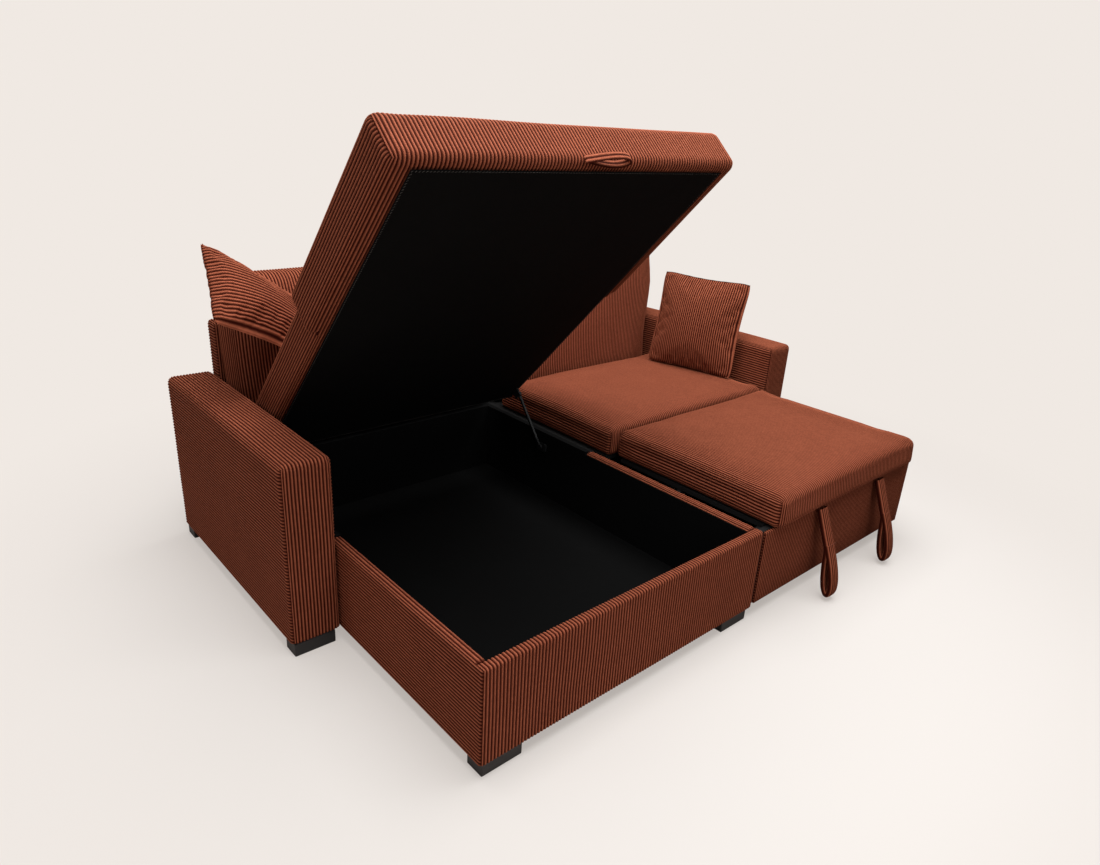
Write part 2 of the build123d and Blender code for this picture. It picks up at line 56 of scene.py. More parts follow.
TUCK = 0.006
WALE_WANDER = 0.0007
LOOSENESS = 0.0011
WORN_TONE = 0.7
WEAR = 0.62
WEAR_FROM_EDGE = 0.02
WEAR_RUN = 0.15
# Painted shade darkens the rib tone in the sunken seams, on panels and less on pillows
SEAM_SHADE = 0.6
PILLOW_SEAM_SHADE = 0.25
LOOSE_HOLD = 0.04
WANDER_HOLD = 0.03
PANEL_STEP = 0.05
CREST_DARK = 0.78
CREST_LIGHT = 1.2

# Tight upholstery: rounded edges as (low, high) pairs for x, y and z
ARM_RADII = ((0.022, 0.022), (0.018, 0.018), (0.006, 0.024))
ARM_CROWN = 0.006
ARM_TOP_DROP = 0.003
BACK_RADII = ((0.014, 0.014), (0.018, 0.018), (0.006, 0.02))
BED_FRONT_RADII = ((0.006, 0.006), (0.006, 0.002), (0.006, 0.006))
RAIL_RADII = ((0.012, 0.012), (0.010, 0.008), (0.004, 0.010))
RAIL_LIP = 0.014
RAIL_BESIDE_ARM = 0.05

# Lining inside the storage box
BOX_LINING = 0.004
BOX_LINING_PROUD = 0.0006
BOX_LINING_LAP = 0.003
BOX_LINING_REAR = 0.002
BOX_LINING_EDGE = 0.0008

# Photograph's camera
CAMERA_PLACE = Vector((-1.88447, -1.83979, 1.44658))
CAMERA_HEADING = 0.7427
CAMERA_DOWN = 0.3777
CAMERA_ROLL = 0.0584
CAMERA_LENS = 25.127
SENSOR = 36.0

# Lid of the chaise: it leans back about a line along its rear underside edge
LID_LEAN = math.radians(46.2)
LID_REAR = Vector((0.0, 0.4946, 0.3883))
LID_LENGTH = 1.365
LID_WIDE_LENGTH = 0.645
LID_WIDE = (-1.069, 0.074)
LID_NARROW = (-1.034, 0.039)
LID_THICK = 0.138
LID_ROUND = 0.030
LID_ROUND_UNDER = 0.024
LID_UNDER = 0.004
LINING_MARGIN = 0.022
LINING_FRONT = 0.03
LINING_GRID = (90, 110)
LINING_SAG = 0.0004
LINING_RISE = 0.0014
LINING_STITCH_INSET = 0.006
LINING_STITCH_RISE = 0.0011

LID_STRAP_ENDS = (-0.545, -0.398)
LID_STRAP_LINE = -1.372
LID_STRAP_BULGE = 0.021
LID_STRAP_WIDTH = 0.024
LID_STRAP_RISE = 0.004

# Seat and mattress: node, body, piece, crown, growth at the right, front and rear, roundness in y
PADS = (
    ("seat_cushion", "root", "seat_pad", 0.008, (0.0, -0.010, 0.024), (0.02, 0.03)),
    ("bed_mattress", "bed_top", "mattress_pad", 0.004, (0.006, 0.0, 0.013), (0.034, 0.016)),
)
PAD_ROUND_X = (0.03, 0.03)
PAD_ROUND_Z = (0.02, 0.028)
PAD_TOP_DROP = 0.006
PAD_PINCH = 0.004
PAD_PRESSURE = 1.2
PAD_SWELL_CAP = 0.006

# Back cushions lean on the back's top edge
CUSHION_LEAN = math.radians(6)
CUSHION_RADII = ((0.05, 0.05), (0.04, 0.04), (0.03, 0.045))
CUSHION_TOP_DROP = 0.012
CUSHION_FACE_DROP = 0.008
CUSHION_FULL = 0.022
CUSHION_BELLY = 0.008
CUSHION_SPREAD = 0.04
CUSHION_PRESSURE = 2.0
CUSHION_SWELL_CAP = 0.010

# Throw pillows
PILLOW_SIDE = 0.44
PILLOW_HALF = 0.062
PILLOW_STEP = 0.016
PILLOW_PUFF = 0.45
PILLOW_DRAW_IN = 0.06
PILLOW_CORNER = 0.05
PILLOW_SLACK = 0.8
PILLOW_PRESSURE = 2.0
PILLOW_GROWTH = 0.02
PILLOW_SEAM_RIB = 0.8
PILLOW_POINTS = 80
PILLOW_CROWDING = 0.9
RIGHT_PILLOW = (0.961, 0.2986, 0.6415)
RIGHT_PILLOW_ALONG = (0.2, -0.98, 0)
RIGHT_PILLOW_OUT = (-0.956, -0.195, 0.215)
LONG_PILLOW = (0.44, 0.26)
LONG_PILLOW_HALF = 0.055
LEFT_PILLOW = (-0.975, 0.5147, 0.881)
LEFT_PILLOW_ALONG = (0.8025, 0.2039, -0.5608)
LEFT_PILLOW_OUT = (0.5553, -0.5989, 0.5769)
LEFT_PILLOW_DRAG = (-0.03, -0.028, -0.02)
LEFT_PILLOW_FULLER = 1.35

# Bed straps: top of the stem, stitch and low end of the loop, as (y, z)
STRAP_WIDTH = 0.05
STRAP_THICK = 0.018
STRAP_TOP = (-0.7585, 0.314)
STRAP_TIP = (-0.8086, 0.198)
STRAP_LOW = (-0.8346, 0.021)
STRAP_BULGE = 0.020
STRAP_FORWARD = 0.008
STRAP_STITCH_INSET = 0.004
STRAP_STITCH_RISE = 0.004
STRAP_STITCH_PROUD = STRAP_THICK * 0.6
STEM_THICK = STRAP_THICK * 1.2
STEM_LAP = 0.012
LID_STRAP_THICK = STRAP_THICK * 0.45
LOOP_POINTS = 72
STEM_POINTS = 24

FOOT_EDGE = 0.003

# Cloth simulation
SWELL_FRAMES = 16
SWELL_STEP = 0.035
COVER_BEND = 0.6
PILLOW_BEND = 0.3

# Studio
FLOOR_GLOW_SHARE = 0.48
FLOOR_GLOW = (243, 234, 227)
FLOOR_LIT = (202, 199, 196)
FLOOR_BOUNCE = (200, 188, 180)
FLOOR_SHADED = (110, 102, 98)
FLOOR_SHADE_SPAN = (-0.5, 0.7)
FLOOR_FADE = (1.3, 2.5)
FLOOR_REACH = 40.0
AMBIENT = 0.12
AMBIENT_TINT = (244, 240, 236)
# Lamps: name, place, target, size in metres and power in watts
LAMPS = (
    ("top_light", (0.0, -0.4, 3.6), (0.0, -0.1, 0.4), 3.6, 275),
    ("front_light", (-1.5, -4.0, 2.0), (-0.5, -0.2, 0.3), 1.8, 32),
    ("left_fill", (-4.0, 0.4, 2.5), (-0.6, 0.2, 0.3), 2.5, 30),
)


class Wire:
    """A shader socket that takes part in Python sums; each operator adds a Math node."""

    def __init__(self, finish, socket):
        self.finish = finish
        self.socket = socket

    def maths(self, operation, first, second):
        return self.finish.node("ShaderNodeMath", {"operation": operation}, {0: first, 1: second})

    def __add__(self, other):
        return self.maths("ADD", self, other)

    __radd__ = __add__

    def __sub__(self, other):
        return self.maths("SUBTRACT", self, other)

    def __rsub__(self, other):
        return self.maths("SUBTRACT", other, self)

    def __mul__(self, other):
        return self.maths("MULTIPLY", self, other)

    def __pow__(self, other):
        return self.maths("POWER", self, other)


class Finish:
    """One material under construction."""

    def __init__(self, name):
        self.material = bpy.data.materials.new(name)
        self.material.use_nodes = True
        self.tree = self.material.node_tree
        self.tree.nodes.clear()

    def node(self, kind, settings=None, sockets=None, output=0):
        """Adds a node, sets its settings, then its sockets; returns one output as a wire."""
        made = self.tree.nodes.new(kind)
        for key, value in (settings or {}).items():
            setattr(made, key, value)
        for key, value in (sockets or {}).items():
            if isinstance(value, Wire):
                self.tree.links.new(value.socket, made.inputs[key])
            else:
                made.inputs[key].default_value = value
        return Wire(self, made.outputs[output]) if made.outputs else None

    def mix(self, factor, first, second):
        """A colour mix of two colours or wires."""
        settings = {"data_type": "RGBA"}
        return self.node("ShaderNodeMix", settings, {"Factor": factor, 6: first, 7: second}, 2)

    def noise(self, scale, detail=3.0, stretch=(1, 1, 1)):
        """Noise on Object coordinates, finer along an axis with a larger stretch."""
        place = self.node("ShaderNodeTexCoord", output=3)
        place = self.node("ShaderNodeMapping", None, {"Vector": place, "Scale": stretch})
        return self.node("ShaderNodeTexNoise", None, {"Vector": place, "Scale": scale, "Detail": detail})

    def surface(self, sockets):
        """Ends the material in a Principled shader."""
        shader = self.node("ShaderNodeBsdfPrincipled", None, sockets)
        self.node("ShaderNodeOutputMaterial", None, {"Surface": shader})
        return self.material


def rgb(red, green, blue):
    """A display colour from 0 to 255 as the linear colour that sockets take."""
    shares = [value / 255 for value in (red, green, blue)]
    linear = [((v + 0.055) / 1.055) ** 2.4 if v > 10 / 255 else v / 12.92 for v in shares]
    return (*linear, 1.0)


PAPER = rgb(240, 233, 227)


def corduroy(name, crest, valley_shade):
    """Ribbed pile: valleys darkened with painted shade, soft mottled crests and a fine nap."""
    finish = Finish(name)
    rib = finish.node("ShaderNodeAttribute", {"attribute_name": "rib"}, output=2)
    nap = finish.noise(700.0, 2.0)
    brushed = finish.noise(9.0, 4.0)
    mottle = finish.noise(85.0, 3.0)
    depth = rib ** 1.6
    tone = (brushed - 0.5) * 0.5 + (mottle - 0.5) * 1.3 + (nap - 0.5) * 0.3 + 0.5
    dark = tuple(c * CREST_DARK for c in crest[:3]) + (1.0,)
    light = tuple(min(1.0, c * CREST_LIGHT) for c in crest[:3]) + (1.0,)
    pile = finish.mix(tone, dark, light)
    # painted shade: the rib valleys take the dark shade colour, the crests the pile colour
    colour = finish.mix(depth, valley_shade, pile)
    bump = finish.node("ShaderNodeBump", None, {"Height": nap, "Strength": 0.3, "Distance": 0.0007})
    return finish.surface({
        "Base Color": colour,
        "Roughness": 0.92 - depth * 0.12,
        "Normal": bump,
        "Sheen Weight": 0.06,
        "Sheen Roughness": 0.4,
        "Sheen Tint": rgb(214, 132, 100),
        "Specular IOR Level": 0.05,
    })


def black_lining(name):
    """Non-woven black lining with a faint speckle."""
    finish = Finish(name)
    fibre = finish.noise(420.0, 3.0)
    cloud = finish.noise(5.0, 3.0)
    colour = finish.mix(cloud * 0.6 + fibre * 0.4, rgb(3, 3, 3), rgb(9, 9, 9))
    bump = finish.node("ShaderNodeBump", None, {"Height": fibre, "Strength": 0.35, "Distance": 0.0006})
    return finish.surface({
        "Base Color": colour,
        "Roughness": 0.86 + fibre * 0.1,
        "Normal": bump,
        "Specular IOR Level": 0.1,
    })


def dark_board(name):
    """Fibreboard wrapped in dark paper, with a long faint grain."""
    finish = Finish(name)
    grain = finish.noise(30.0, 5.0, (1.0, 14.0, 14.0))
    colour = finish.mix(grain, rgb(12, 12, 12), rgb(27, 26, 26))
    bump = finish.node("ShaderNodeBump", None, {"Height": grain, "Strength": 0.12, "Distance": 0.0006})
    return finish.surface({
        "Base Color": colour,
        "Roughness": 0.62 + grain * 0.2,
        "Normal": bump,
        "Specular IOR Level": 0.2,
    })


def moulded_black(name):
    """Matt black moulding with a fine spark-eroded grain."""
    finish = Finish(name)
    grain = finish.noise(900.0, 2.0)
    scuff = finish.noise(25.0, 5.0)
    colour = finish.mix(scuff, rgb(20, 20, 21), rgb(38, 37, 37))
    bump = finish.node("ShaderNodeBump", None, {"Height": grain, "Strength": 0.25, "Distance": 0.0004})
    return finish.surface({"Base Color": colour, "Roughness": 0.45 + scuff * 0.25, "Normal": bump})


def coated_steel(name, low, high, metallic, rough):
    """Steel with its coat or plating, worn a little unevenly."""
    finish = Finish(name)
    worn = finish.noise(60.0, 5.0)
    colour = finish.mix(worn, low, high)
    bump = finish.node("ShaderNodeBump", None, {"Height": worn, "Strength": 0.08, "Distance": 0.0005})
    return finish.surface({
        "Base Color": colour,
        "Metallic": metallic,
        "Roughness": rough + worn * 0.2,
        "Normal": bump,
    })


def thread(name, low, high):
    """Sewing thread, twisted and a little uneven."""
    finish = Finish(name)
    twist = finish.noise(1500.0, 2.0)
    bump = finish.node("ShaderNodeBump", None, {"Height": twist, "Strength": 0.3, "Distance": 0.0002})
    colour = finish.mix(twist, low, high)
    return finish.surface({"Base Color": colour, "Roughness": 0.6 + twist * 0.2, "Normal": bump})


# The second colour is the painted shade of the rib valleys
RUST = corduroy("rust_corduroy", rgb(153, 85, 61), rgb(46, 8, 2))
THREAD = thread("grey_thread", rgb(52, 50, 48), rgb(84, 81, 78))
DARK_THREAD = thread("rust_thread", rgb(84, 38, 26), rgb(116, 58, 42))
LINING = black_lining("black_lining")
BOARD = dark_board("dark_board")
MOULDED = moulded_black("moulded_black")
STEEL = coated_steel("black_steel", rgb(10, 10, 11), rgb(20, 20, 21), 0.2, 0.5)
PLATED = coated_steel("plated_steel", rgb(14, 14, 15), rgb(28, 28, 28), 0.5, 0.45)
RUBBER = moulded_black("roller_rubber")


def rib_stations(low, high):
    """Places across the ribs from low to high, with the rib height at each, from 0 to 1."""
    count = max(1, round((high - low) / RIB_PITCH))
    places = (np.arange(count)[:, None] + np.array(RIB_STOPS)).ravel()
    places = np.append(places, count)
    return low + (high - low) * places / count, np.sin(np.pi * places) ** 2


def path_stations(corners, spacing, edge):
    """Points along a path of straight runs, closer together near each corner."""
    points = []
    for start, end in zip(corners[:-1], corners[1:]):
        start, end = np.array(start, float), np.array(end, float)
        length = np.linalg.norm(end - start)
        close = np.linspace(0, min(edge, length / 3), 6)
        inner = max(3, int((length - 2 * close[-1]) / spacing))
        run = np.concatenate([close, np.linspace(close[-1], length - close[-1], inner), length - close])
        run = np.unique(np.round(run, 6))
        if points:
            run = run[1:]
        points += [start + (end - start) * t / length for t in run]
    return np.array(points)


def rounded(points, low, high, radii):
    """Moves points of a sharp box's surface onto a box with rounded edges.
    The radii are three (low, high) pairs."""
    inner = np.empty_like(points)
    scaled = np.empty_like(points)
    size = np.empty_like(points)
    for axis, (near, far) in enumerate(radii):
        inner[..., axis] = np.clip(points[..., axis], low[axis] + near, high[axis] - far)
        size[..., axis] = np.where(points[..., axis] < inner[..., axis], near, far)
        scaled[..., axis] = (points[..., axis] - inner[..., axis]) / np.maximum(size[..., axis], 1e-9)
    length = np.linalg.norm(scaled, axis=-1, keepdims=True)
    return inner + scaled / np.maximum(length, 1.0) * size


def loosened(points, normal, hold):
    """Long shallow waves along the surface normal, held at the seams: upholstery is never dead flat."""
    x, y, z = points[..., 0], points[..., 1], points[..., 2]
    wave = np.sin(9.1 * x + 3.7 * y + 1.3) * np.sin(7.3 * y - 5.1 * z)
    wave = wave + 0.6 * np.sin(19 * z + 13 * x - 8 * y)
    return points + normal * (LOOSENESS * (wave - 1.0) * hold)[..., None]


def grid_normals(points):
    """Unit normals of a grid of points."""
    across = np.gradient(points, axis=0)
    along = np.gradient(points, axis=1)
    normal = np.cross(across, along)
    return normal / np.maximum(np.linalg.norm(normal, axis=-1, keepdims=True), 1e-12)


def travelled(points, axis):
    """How far each point of a grid lies from its first edge and from its last, along one axis."""
    steps = np.linalg.norm(np.diff(points, axis=axis), axis=-1)
    first = np.zeros_like(np.take(steps, [0], axis=axis))
    run = np.concatenate([first, np.cumsum(steps, axis=axis)], axis=axis)
    return run, np.take(run, [-1], axis=axis) - run


def sewn(points, ribs, outward, ends=(True, True), tuck=True, wear=0.0):
    """Presses ribs into a grid, draws in the sewn ends of the ribs and turns the edges under.
    Each of the ends is True where sewn and None where another panel goes on from it.
    Worn ribs lie flatter on the level part away from the edges."""
    normal = grid_normals(points)
    if np.mean(np.sum(normal * outward, axis=-1)) < 0:
        points, ribs, normal = points[::-1], ribs[::-1], -normal[::-1]
    edge = np.minimum(np.minimum(*travelled(points, 0)), np.minimum(*travelled(points, 1)))
    points = loosened(points, normal, np.clip(edge / LOOSE_HOLD, 0, 1))
    inside = np.clip((edge - WEAR_FROM_EDGE) / WEAR_RUN, 0, 1)
    worn = wear * inside * np.clip(normal[..., 2], 0, 1) ** 6
    flat = 1 - (1 - ribs) * (1 - worn)
    tone = ribs + (WORN_TONE - ribs) * worn
    sink = np.zeros(ribs.shape)
    for sewn_end, distance in zip(ends, travelled(points, 1)):
        if sewn_end:
            sink = np.maximum(sink, np.exp(-(distance / SEAM_WIDTH) ** 2))
    depth = RIB_HEIGHT * (1 - flat) * (1 - 0.5 * sink) + SEAM_DEPTH * sink
    shown = points - normal * depth[..., None]
    # painted shade: the rib tone is darkened where the sewn ends sink into the seam
    rib = tone * (1 - (SEAM_SHADE if tuck else PILLOW_SEAM_SHADE) * sink)
    if not tuck:
        return shown, rib
    normal = np.concatenate([normal[:1], normal, normal[-1:]])
    shown = np.concatenate([shown[:1], shown, shown[-1:]])
    shown[[0, -1]] -= normal[[0, -1]] * TUCK
    turned = [shown[:, [place]] - normal[:, [place]] * TUCK for place in (0, -1)]
    kept = [edge if end is not None else edge[:, :0] for edge, end in zip(turned, ends)]
    shown = np.concatenate([kept[0], shown, kept[1]], axis=1)
    return shown, np.pad(rib, ((1, 1), (kept[0].shape[1], kept[1].shape[1])))


def panel(low, high, radii, across, path, shape=None, swell=None, limits=None, ends=(True, True), wear=0.0):
    """One sewn panel of an upholstered box: ribs stand side by side along the axis called across and
    follow a path of corners in the plane of the other two axes."""
    edge = max(max(pair) for pair in radii)
    stations, height = rib_stations(*(limits or (low[across], high[across])))
    line = path_stations(path, PANEL_STEP, edge * 1.3)
    others = [axis for axis in range(3) if axis != across]
    points = np.empty((len(stations), len(line), 3))
    wander = np.sin(line.sum(axis=1) * 9.0) + 0.6 * np.sin(line.sum(axis=1) * 23.0 + 1.0)
    hold = np.minimum(stations - stations[0], stations[-1] - stations) / WANDER_HOLD
    points[..., across] = stations[:, None] + WALE_WANDER * wander * np.clip(hold, 0, 1)[:, None]
    for number, axis in enumerate(others):
        points[..., axis] = line[None, :, number]
    outward = points - (np.array(low) + np.array(high)) / 2
    drawn = rounded(points, low, high, radii)
    if shape:
        drawn = shape(drawn)
    if swell:
        drawn = drawn + swell(points)
    return sewn(drawn, np.repeat(height[:, None], len(line), axis=1), outward, ends, wear=wear)


def cubic(grid, rows, columns):
    """Smooth values of a grid of vectors at fractional rows and columns."""

    def weighed(place, count):
        base = np.clip(np.floor(place).astype(int), 0, count - 2)
        t = place - base
        weight = np.stack([
            ((-0.5 * t + 1) * t - 0.5) * t,
            (1.5 * t - 2.5) * t * t + 1,
            ((-1.5 * t + 2) * t + 0.5) * t,
            (0.5 * t - 0.5) * t * t,
        ])
        return [np.clip(base + step, 0, count - 1) for step in (-1, 0, 1, 2)], weight

    row_places, row_weights = weighed(rows, grid.shape[0])
    column_places, column_weights = weighed(columns, grid.shape[1])
    value = 0.0
    for row, row_weight in zip(row_places, row_weights):
        for column, column_weight in zip(column_places, column_weights):
            value = value + grid[row, column] * (row_weight * column_weight)[..., None]
    return value


def simulated(points, quads, held, pressure, bend, grow=0.0):
    """Points of a closed cloth after a pressure simulation with no gravity.
    The held points stay, and the cloth may grow."""
    mesh = bpy.data.meshes.new("swelling")
    mesh.from_pydata(points.tolist(), [], quads)
    cloth = bpy.data.objects.new("swelling", mesh)
    bpy.context.scene.collection.objects.link(cloth)
    group = cloth.vertex_groups.new(name="held")
    group.add([int(i) for i in held], 1.0, "REPLACE")
    modifier = cloth.modifiers.new("cloth", "CLOTH")
    settings = modifier.settings
    settings.quality = 6
    settings.mass = 0.3
    settings.tension_stiffness = 25
    settings.compression_stiffness = 25
    settings.shear_stiffness = 10
    settings.bending_stiffness = bend
    settings.use_pressure = True
    settings.uniform_pressure_force = pressure
    settings.effector_weights.gravity = 0
    settings.vertex_group_mass = "held"
    settings.shrink_min = -grow
    scene = bpy.context.scene
    modifier.point_cache.frame_start = 1
    modifier.point_cache.frame_end = SWELL_FRAMES
    for number in range(1, SWELL_FRAMES + 1):
        scene.frame_set(number)
    ready = cloth.evaluated_get(bpy.context.evaluated_depsgraph_get())
    moved = np.empty(len(points) * 3)
    ready.data.vertices.foreach_get("co", moved)
    bpy.data.objects.remove(cloth)
    bpy.data.meshes.remove(mesh)
    scene.frame_set(1)
    return moved.reshape(-1, 3)


def box_swell(low, high, radii, shape, pressure, cap):
    """Simulates a box cushion's cover and gives a function from points of its sharp box to how far
    they swell. The face at the lowest third coordinate lies on something and is held."""
    counts = [max(3, round((high[axis] - low[axis]) / SWELL_STEP)) for axis in range(3)]
    marks, points, quads, faces = {}, [], [], {}
    for axis in range(3):
        first, second = [other for other in range(3) if other != axis]
        for side in (0, 1):
            index = np.empty((counts[first] + 1, counts[second] + 1), int)
            for row in range(counts[first] + 1):
                for column in range(counts[second] + 1):
                    key = [0, 0, 0]
                    key[axis], key[first], key[second] = side * counts[axis], row, column
                    key = tuple(key)
                    if key not in marks:
                        marks[key] = len(points)
                        points.append([low[k] + (high[k] - low[k]) * key[k] / counts[k] for k in range(3)])
                    index[row, column] = marks[key]
            faces[axis, side] = index
            flip = (side == 1) == (axis != 1)
            around = [index[:-1, :-1], index[1:, :-1], index[1:, 1:], index[:-1, 1:]]
            quad = np.stack(around if flip else around[::-1], axis=-1).reshape(-1, 4)
            quads += quad.tolist()
    start = rounded(np.array(points), low, high, radii)
    start = shape(start) if shape else start
    moved = simulated(start, quads, faces[2, 0].ravel(), pressure, COVER_BEND)
    swell = moved - start
    length = np.linalg.norm(swell, axis=-1, keepdims=True)
    swell *= cap * np.tanh(length / cap) / np.maximum(length, 1e-9)

    def at(places):
        gap = np.stack([np.abs(places - low), np.abs(places - high)], axis=-1)
        nearest = np.argmin(gap.reshape(*places.shape[:-1], 6), axis=-1)
        found = np.zeros_like(places)
        for (axis, side), index in faces.items():
            mask = nearest == axis * 2 + side
            if mask.any():
                first, second = [other for other in range(3) if other != axis]
                spot = (places[mask] - low) / (high - low) * np.array(counts)
                found[mask] = cubic(swell[index], spot[:, first], spot[:, second])
        return found

    return at


def mesh_object(name, grids, material, place=None):
    """One object from grids of points, each with its rib heights."""
    points, quads, ribs, start = [], [], [], 0
    for grid, rib in grids:
        rows, columns = rib.shape
        index = start + np.arange(rows * columns).reshape(rows, columns)
        quad = np.stack([index[:-1, :-1], index[1:, :-1], index[1:, 1:], index[:-1, 1:]], axis=-1)
        quads.append(quad.reshape(-1, 4))
        points.append(grid.reshape(-1, 3))
        ribs.append(rib.ravel())
        start += rows * columns
    points = np.concatenate(points)
    if place is not None:
        turn = np.array(place)
        points = points @ turn[:3, :3].T + turn[:3, 3]
    mesh = bpy.data.meshes.new(name)
    mesh.from_pydata(points.tolist(), [], np.concatenate(quads).tolist())
    mark = mesh.attributes.new("rib", "FLOAT", "POINT")
    mark.data.foreach_set("value", np.concatenate(ribs).astype(np.float32))
    mesh.polygons.foreach_set("use_smooth", [True] * len(mesh.polygons))
    mesh.materials.append(material)
    mesh.update()
    piece = bpy.data.objects.new(name, mesh)
    bpy.context.scene.collection.objects.link(piece)
    return piece


def fitted(piece, body, nodes=()):
    """Puts a finished piece on its body, in place of its CAD nodes."""
    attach(piece, body)
    if nodes:
        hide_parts(*nodes)
    return piece


def upholstery(name, grids, body, nodes, place=None):
    """A padded corduroy piece that stands for the CAD nodes."""
    piece = fitted(mesh_object(name, grids, RUST, place), body, nodes)


def boards(name, boxes, bevel, material, body, nodes):
    """Boards or blocks with eased edges, one for each pair of corners."""
    form = bmesh.new()
    for low, high in boxes:
        made = bmesh.ops.create_cube(form, size=1.0)["verts"]
        for vert in made:
            for axis in range(3):
                vert.co[axis] = low[axis] if vert.co[axis] < 0 else high[axis]
    bmesh.ops.bevel(form, geom=form.edges[:], offset=bevel, segments=3, profile=0.5, affect="EDGES")
    mesh = bpy.data.meshes.new(name)
    form.to_mesh(mesh)
    form.free()
    mesh.materials.append(material)
    piece = bpy.data.objects.new(name, mesh)
    bpy.context.scene.collection.objects.link(piece)
    fitted(piece, body, nodes)


def box_corners(node):
    """Low and high corner of a CAD node's box, as arrays that may be changed."""
    low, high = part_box(node)
    return np.array(low), np.array(high)


def swelling(low, high, crown, pinch, spread=0.0):
    """A box cushion's form: its top rises to a crown and its sides draw in between the corners.
    The far end of a stood cushion can spread to its right."""
    middle = (low + high) / 2
    half = (high - low) / 2

    def shape(points):
        place = np.clip((points - middle) / half, -1, 1)
        bulge = 1 - place ** 2
        made = points.copy()
        up = np.clip(place[..., 2] * 0.5 + 0.5, 0, 1)
        made[..., 2] += crown * bulge[..., 0] ** 0.6 * bulge[..., 1] ** 0.6 * up ** 2
        made[..., 0] -= pinch * place[..., 0] * bulge[..., 1]
        made[..., 1] -= pinch * place[..., 1] * bulge[..., 0]
        upper = np.clip(place[..., 1] * 1.4 + 0.5, 0, 1)
        made[..., 0] += spread * np.clip(place[..., 0], 0, 1) ** 2 * upper
        return made

    return shape


def box_panels(low, high, radii, shape=None, swell=None, wear=0.0):
    """Panels of an upholstered box: the top runs on down the front and the back, and ribs lie along
    the sides."""
    x, y, z = zip(low, high)
    over = [(y[0], z[0]), (y[0], z[1]), (y[1], z[1]), (y[1], z[0])]
    grids = [panel(low, high, radii, 0, over, shape, swell, wear=wear)]
    for face in x:
        grids.append(panel(low, high, radii, 2, [(face, y[0]), (face, y[1])], shape, swell))
    grids.append(panel(low, high, radii, 0, [(y[0], z[0]), (y[1], z[0])], shape, swell))
    return grids


def arms():
    for side in ("left", "right"):
        low, high = box_corners(f"{side}_arm_cover")
        high[2] -= ARM_TOP_DROP
        grids = box_panels(low, high, ARM_RADII, swelling(low, high, ARM_CROWN, 0.0))
        upholstery(f"{side}_arm_cushion", grids, "root", [f"{side}_arm_cover"])


def back():
    low, high = box_corners("back_cover")
    upholstery("back_upholstery", box_panels(low, high, BACK_RADII), "root", ["back_cover"])


def chaise_rails():
    """Upholstered outside of the storage box, turned over the top of its walls, with the lining inside."""
    front_low, front_high = box_corners("chaise_front_cover")
    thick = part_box("chaise_front_wall")[1].y - front_low[1]
    front_high[1] = front_low[1] + thick
    y, z = (front_low[1], front_high[1]), (front_low[2], front_high[2])
    over = [(y[0], z[0]), (y[0], z[1]), (y[1], z[1]), (y[1], z[1] - RAIL_LIP)]
    grids = [panel(front_low, front_high, RAIL_RADII, 0, over)]
    upholstery("chaise_front_rail", grids, "root", ["chaise_front_cover"])
    lined_low = (front_low[0] + thick, y[1] - BOX_LINING, z[0])
    lined_high = (front_high[0] - thick, y[1] + BOX_LINING_PROUD, z[1] - RAIL_LIP + BOX_LINING_LAP)
    box_lining("front", [(lined_low, lined_high)])
    for side, outward in (("left", -1), ("right", 1)):
        low, high = box_corners(f"chaise_{side}_cover")
        low[1] = front_low[1]
        high[1] += RAIL_BESIDE_ARM if outward < 0 else 0.0
        outer, inner = (low[0], low[0] + thick) if outward < 0 else (high[0], high[0] - thick)
        low[0], high[0] = min(outer, inner), max(outer, inner)
        outside = [(outer, low[1]), (outer, high[1])]
        top = [(front_high[1], high[2]), (high[1], high[2])]
        lip = [(inner, front_high[1]), (inner, high[1])]
        rear = [(high[1], low[2]), (high[1], high[2])]
        grids = [
            panel(low, high, RAIL_RADII, 2, outside),
            panel(low, high, RAIL_RADII, 0, top),
            panel(low, high, RAIL_RADII, 2, lip, limits=(high[2] - RAIL_LIP, high[2])),
            panel(low, high, RAIL_RADII, 0, rear),
        ]
        upholstery(f"chaise_{side}_rail", grids, "root", [f"chaise_{side}_cover"])
        wall_low, wall_high = box_corners(f"chaise_{side}_wall")
        near, far = sorted((inner - outward * BOX_LINING_PROUD, inner + outward * BOX_LINING))
        lined_high = (far, high[1] + BOX_LINING_REAR, high[2] - RAIL_LIP + BOX_LINING_LAP)
        beside_rail = ((near, front_high[1], low[2]), lined_high)
        beside_arm = ((wall_low[0], high[1], low[2]), (wall_high[0], wall_high[1], high[2]))
        box_lining(side, [beside_rail, beside_arm])


def box_lining(side, boxes):
    """Lining of one wall of the storage box."""
    wall = [f"chaise_{side}_wall"]
    boards(f"storage_lining_{side}", boxes, BOX_LINING_EDGE, LINING, "root", wall)


def frame_of(origin, along, out):
    """A placing matrix from an origin, the direction of local X and the direction of local Z."""
    along, out = Vector(along).normalized(), Vector(out).normalized()
    turn = Matrix((along, out.cross(along), out)).transposed().to_4x4()
    return Matrix.Translation(Vector(origin)) @ turn


LID_FRAME = frame_of(LID_REAR, (1, 0, 0), (0, math.sin(LID_LEAN), math.cos(LID_LEAN)))


